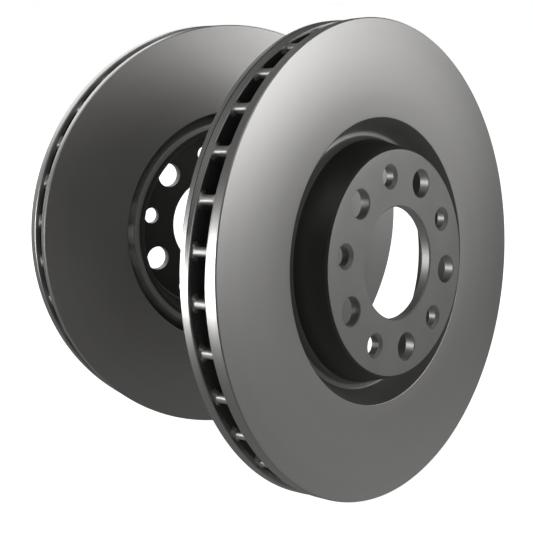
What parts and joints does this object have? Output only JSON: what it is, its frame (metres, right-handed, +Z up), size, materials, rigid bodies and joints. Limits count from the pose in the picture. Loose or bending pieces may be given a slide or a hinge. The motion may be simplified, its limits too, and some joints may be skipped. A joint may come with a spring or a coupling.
{
  "type": "ventilated brake disc pair",
  "caption": "Pair of ventilated brake discs standing on edge, with a raised hat, a central hub bore, a ring of bolt holes and vents open all round the rim.",
  "frame": {"origin": "centre of the near disc's hub bore, halfway through its mounting plate", "axes": "+Z up, with both discs standing on edge; +Y along the near disc's axis, from its wheel side to its hub side; +X level, across the near disc's face"},
  "size_m": [0.3577, 0.2623, 0.305],
  "materials": {
    "machined_iron": "fine-turned satin",
    "hat_iron": "coated satin",
    "cast_iron": "as cast, dark"
  },
  "bodies": {
    "near_disc": {"near_disc_mounting_plate": "hat_iron", "near_disc_hat_wall": "hat_iron", "near_disc_outboard_plate": "machined_iron", "near_disc_inboard_plate": "machined_iron", "near_disc_vanes": "cast_iron"},
    "far_disc": {"far_disc_mounting_plate": "hat_iron", "far_disc_hat_wall": "hat_iron", "far_disc_outboard_plate": "machined_iron", "far_disc_inboard_plate": "machined_iron", "far_disc_vanes": "cast_iron"}
  },
  "joints": [
    {"name": "far_disc_lift", "type": "slide", "parent": "near_disc", "child": "far_disc", "axis": [0, 0, 1], "range_m": [0, 0.32]}
  ]
}
